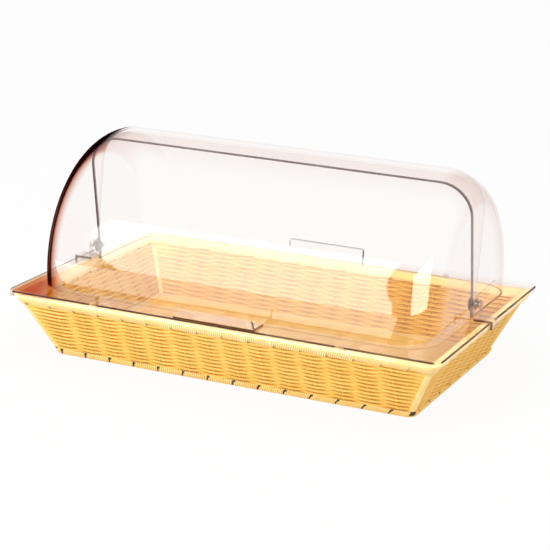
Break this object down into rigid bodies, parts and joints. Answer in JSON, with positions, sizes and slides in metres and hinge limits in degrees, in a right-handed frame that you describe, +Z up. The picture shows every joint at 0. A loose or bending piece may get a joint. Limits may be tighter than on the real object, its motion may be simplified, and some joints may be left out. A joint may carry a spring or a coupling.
{
  "type": "bread display bin",
  "caption": "Countertop bread display bin: a flared woven basket, a clear frame on its rim, and a clear roll-top cover whose front and rear halves roll open on side pivots.",
  "frame": {"origin": "middle of the basket's footprint, on the surface that it stands on", "axes": "+X along the length to the right seen from the front, front faces -Y, +Z up"},
  "size_m": [0.5764, 0.377, 0.267],
  "materials": {
    "rattan": "woven synthetic cane, golden yellow, satin",
    "pale_rattan": "flat wrapped synthetic cane, pale straw, satin",
    "stake_cane": "plain synthetic cane",
    "steel_wire": "drawn wire, dark",
    "clear_cover": "clear sheet with a faint rose-brown tint, polished edges",
    "clear_frame": "clear moulded plastic with a faint rose-brown tint",
    "pivot_nylon": "translucent white nylon"
  },
  "bodies": {
    "basket": {"base_wire": "steel_wire", "base_wrap": "pale_rattan", "corner_wires": "steel_wire", "corner_wraps": "pale_rattan", "floor_stakes": "stake_cane", "floor_weave": "rattan", "front_stakes": "stake_cane", "front_weave": "rattan", "left_stakes": "stake_cane", "left_weave": "rattan", "rear_stakes": "stake_cane", "rear_weave": "rattan", "right_stakes": "stake_cane", "right_weave": "rattan", "rim_wire": "steel_wire", "rim_wrap": "pale_rattan"},
    "cover_frame": {"cover_frame": "clear_frame", "pivot_bracket_left": "clear_frame", "pivot_bracket_right": "clear_frame", "pivot_cap_left": "pivot_nylon", "pivot_cap_right": "pivot_nylon", "pivot_pin_left": "pivot_nylon", "pivot_pin_right": "pivot_nylon", "pivot_washer_left": "clear_frame", "pivot_washer_right": "clear_frame", "rest_pads": "clear_frame"},
    "front_half": {"front_shell": "clear_cover", "front_grip": "clear_cover"},
    "rear_half": {"rear_shell": "clear_cover", "rear_grip": "clear_cover"}
  },
  "joints": [
    {"name": "cover_lift", "type": "slide", "parent": "basket", "child": "cover_frame", "axis": [0, 0, 1], "range_m": [0, 0.06]},
    {"name": "front_roll", "type": "hinge", "parent": "cover_frame", "child": "front_half", "pos_m": [0, 0, 0.107], "axis": [-1, 0, 0], "range_deg": [0, 85]},
    {"name": "rear_roll", "type": "hinge", "parent": "cover_frame", "child": "rear_half", "pos_m": [0, 0, 0.107], "axis": [1, 0, 0], "range_deg": [0, 85]}
  ]
}
